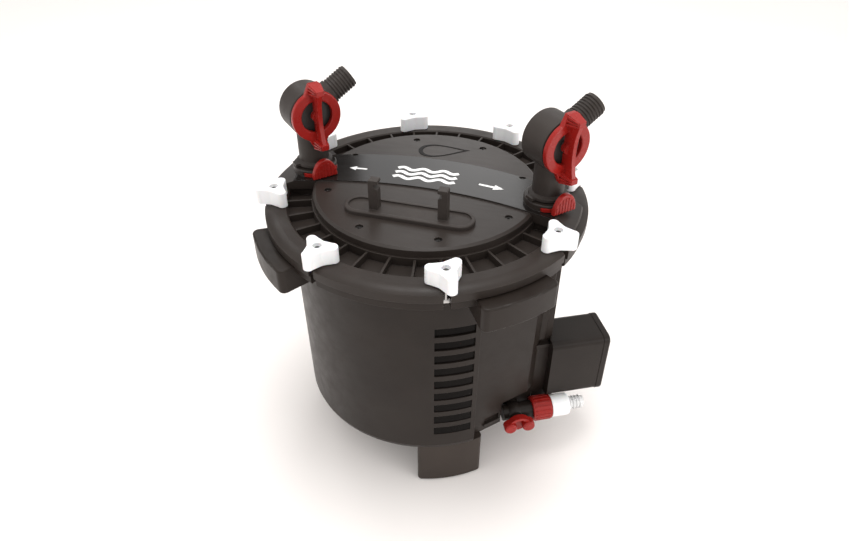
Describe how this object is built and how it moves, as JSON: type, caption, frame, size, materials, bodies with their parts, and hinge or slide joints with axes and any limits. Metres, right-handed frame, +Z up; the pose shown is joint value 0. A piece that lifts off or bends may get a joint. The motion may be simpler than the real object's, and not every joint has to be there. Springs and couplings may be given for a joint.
{
  "type": "canister filter",
  "caption": "External canister filter for an aquarium: lidded drum on legs, clamped by swing-bolt knobs, with two shut-off hose valves, a control box and a drain.",
  "frame": {"origin": "on the floor, on the drum's axis", "axes": "+Z up; the two hose ports lie on the X axis, inlet at -X and outlet at +X; the front foot points nearly to -Y"},
  "size_m": [0.4102, 0.3606, 0.4502],
  "materials": {
    "black_plastic": "satin, slightly warm charcoal",
    "gloss_black": "smooth and glossy",
    "red_plastic": "glossy red",
    "white_plastic": "satin white",
    "clear_plastic": "translucent, frosted",
    "rubber": "matt",
    "steel": "plain stainless",
    "foam": "open-cell filter foam",
    "board": "solder mask",
    "stator": "varnished coils and core"
  },
  "bodies": {
    "filter": {"basket_cover": "black_plastic", "basket_handles": "black_plastic", "basket_lower": "black_plastic", "basket_middle": "black_plastic", "basket_upper": "black_plastic", "box_bracket": "black_plastic", "canister_body": "black_plastic", "case_screws": "steel", "circuit_board": "board", "clip_tray": "black_plastic", "control_box": "black_plastic", "control_box_cap": "black_plastic", "cord_gland": "rubber", "drain_connector": "white_plastic", "drain_nozzle": "clear_plastic", "drain_valve_body": "black_plastic", "feet": "black_plastic", "foam_lower": "foam", "foam_middle": "foam", "foam_upper": "foam", "impeller_bushes": "rubber", "impeller_cover": "black_plastic", "impeller_shaft": "steel", "inlet_valve_body": "black_plastic", "lid": "black_plastic", "lid_cover": "black_plastic", "lid_seal": "rubber", "motor_housing": "black_plastic", "motor_stator": "stator", "outlet_duct": "black_plastic", "outlet_valve_body": "black_plastic", "panel_inlays": "gloss_black", "port_seals": "rubber", "riser_tube": "black_plastic", "rubber_feet": "rubber"},
    "bolt_1": {"bolt_1": "steel"},
    "knob_1": {"knob_1": "white_plastic"},
    "bolt_2": {"bolt_2": "steel"},
    "knob_2": {"knob_2": "white_plastic"},
    "bolt_3": {"bolt_3": "steel"},
    "knob_3": {"knob_3": "white_plastic"},
    "bolt_4": {"bolt_4": "steel"},
    "knob_4": {"knob_4": "white_plastic"},
    "bolt_5": {"bolt_5": "steel"},
    "knob_5": {"knob_5": "white_plastic"},
    "bolt_6": {"bolt_6": "steel"},
    "knob_6": {"knob_6": "white_plastic"},
    "bolt_7": {"bolt_7": "steel"},
    "knob_7": {"knob_7": "white_plastic"},
    "bolt_8": {"bolt_8": "steel"},
    "knob_8": {"knob_8": "white_plastic"},
    "inlet_lever": {"inlet_valve_handle": "red_plastic", "inlet_valve_rotor": "black_plastic"},
    "outlet_lever": {"outlet_valve_handle": "red_plastic", "outlet_valve_rotor": "black_plastic"},
    "inlet_clip": {"inlet_lock_clip": "red_plastic"},
    "outlet_clip": {"outlet_lock_clip": "red_plastic"},
    "drain_tap": {"drain_knob": "red_plastic"},
    "drain_union": {"drain_nut": "red_plastic"},
    "pump_rotor": {"impeller": "white_plastic"}
  },
  "joints": [
    {"name": "bolt_1_swing", "type": "hinge", "parent": "filter", "child": "bolt_1", "pos_m": [-0.15521, -0.06429, 0.308], "axis": [0.3827, -0.9239, 0], "range_deg": [0, 90]},
    {"name": "knob_1_turn", "type": "hinge", "parent": "bolt_1", "child": "knob_1", "pos_m": [-0.15521, -0.06429, 0.328], "axis": [0, 0, 1], "continuous": true},
    {"name": "bolt_2_swing", "type": "hinge", "parent": "filter", "child": "bolt_2", "pos_m": [-0.06429, -0.15521, 0.308], "axis": [0.9239, -0.3827, 0], "range_deg": [0, 90]},
    {"name": "knob_2_turn", "type": "hinge", "parent": "bolt_2", "child": "knob_2", "pos_m": [-0.06429, -0.15521, 0.328], "axis": [0, 0, 1], "continuous": true},
    {"name": "bolt_3_swing", "type": "hinge", "parent": "filter", "child": "bolt_3", "pos_m": [0.06429, -0.15521, 0.308], "axis": [0.9239, 0.3827, 0], "range_deg": [0, 90]},
    {"name": "knob_3_turn", "type": "hinge", "parent": "bolt_3", "child": "knob_3", "pos_m": [0.06429, -0.15521, 0.328], "axis": [0, 0, 1], "continuous": true},
    {"name": "bolt_4_swing", "type": "hinge", "parent": "filter", "child": "bolt_4", "pos_m": [0.15521, -0.06429, 0.308], "axis": [0.3827, 0.9239, 0], "range_deg": [0, 90]},
    {"name": "knob_4_turn", "type": "hinge", "parent": "bolt_4", "child": "knob_4", "pos_m": [0.15521, -0.06429, 0.328], "axis": [0, 0, 1], "continuous": true},
    {"name": "bolt_5_swing", "type": "hinge", "parent": "filter", "child": "bolt_5", "pos_m": [0.15521, 0.06429, 0.308], "axis": [-0.3827, 0.9239, 0], "range_deg": [0, 90]},
    {"name": "knob_5_turn", "type": "hinge", "parent": "bolt_5", "child": "knob_5", "pos_m": [0.15521, 0.06429, 0.328], "axis": [0, 0, 1], "continuous": true},
    {"name": "bolt_6_swing", "type": "hinge", "parent": "filter", "child": "bolt_6", "pos_m": [0.06429, 0.15521, 0.308], "axis": [-0.9239, 0.3827, 0], "range_deg": [0, 90]},
    {"name": "knob_6_turn", "type": "hinge", "parent": "bolt_6", "child": "knob_6", "pos_m": [0.06429, 0.15521, 0.328], "axis": [0, 0, 1], "continuous": true},
    {"name": "bolt_7_swing", "type": "hinge", "parent": "filter", "child": "bolt_7", "pos_m": [-0.06429, 0.15521, 0.308], "axis": [-0.9239, -0.3827, 0], "range_deg": [0, 90]},
    {"name": "knob_7_turn", "type": "hinge", "parent": "bolt_7", "child": "knob_7", "pos_m": [-0.06429, 0.15521, 0.328], "axis": [0, 0, 1], "continuous": true},
    {"name": "bolt_8_swing", "type": "hinge", "parent": "filter", "child": "bolt_8", "pos_m": [-0.15521, 0.06429, 0.308], "axis": [-0.3827, -0.9239, 0], "range_deg": [0, 90]},
    {"name": "knob_8_turn", "type": "hinge", "parent": "bolt_8", "child": "knob_8", "pos_m": [-0.15521, 0.06429, 0.328], "axis": [0, 0, 1], "continuous": true},
    {"name": "inlet_lever_turn", "type": "hinge", "parent": "filter", "child": "inlet_lever", "pos_m": [-0.1345, 0, 0.4103], "axis": [0.7314, -0.682, 0], "range_deg": [0, 90]},
    {"name": "inlet_clip_slide", "type": "slide", "parent": "filter", "child": "inlet_clip", "axis": [0.7314, -0.682, 0], "range_m": [0, 0.008]},
    {"name": "outlet_lever_turn", "type": "hinge", "parent": "filter", "child": "outlet_lever", "pos_m": [0.1345, 0, 0.4103], "axis": [0.7314, -0.682, 0], "range_deg": [0, 90]},
    {"name": "outlet_clip_slide", "type": "slide", "parent": "filter", "child": "outlet_clip", "axis": [0.7314, -0.682, 0], "range_m": [0, 0.008]},
    {"name": "drain_tap_turn", "type": "hinge", "parent": "filter", "child": "drain_tap", "pos_m": [0.13123, -0.06584, 0.0725], "axis": [0.4617, -0.887, 0], "range_deg": [0, 90]},
    {"name": "drain_union_turn", "type": "hinge", "parent": "filter", "child": "drain_union", "pos_m": [0.16139, -0.05014, 0.0725], "axis": [0.887, 0.4617, 0], "continuous": true},
    {"name": "pump_spin", "type": "hinge", "parent": "filter", "child": "pump_rotor", "pos_m": [0, 0, 0.06], "axis": [0, 0, 1], "continuous": true}
  ]
}
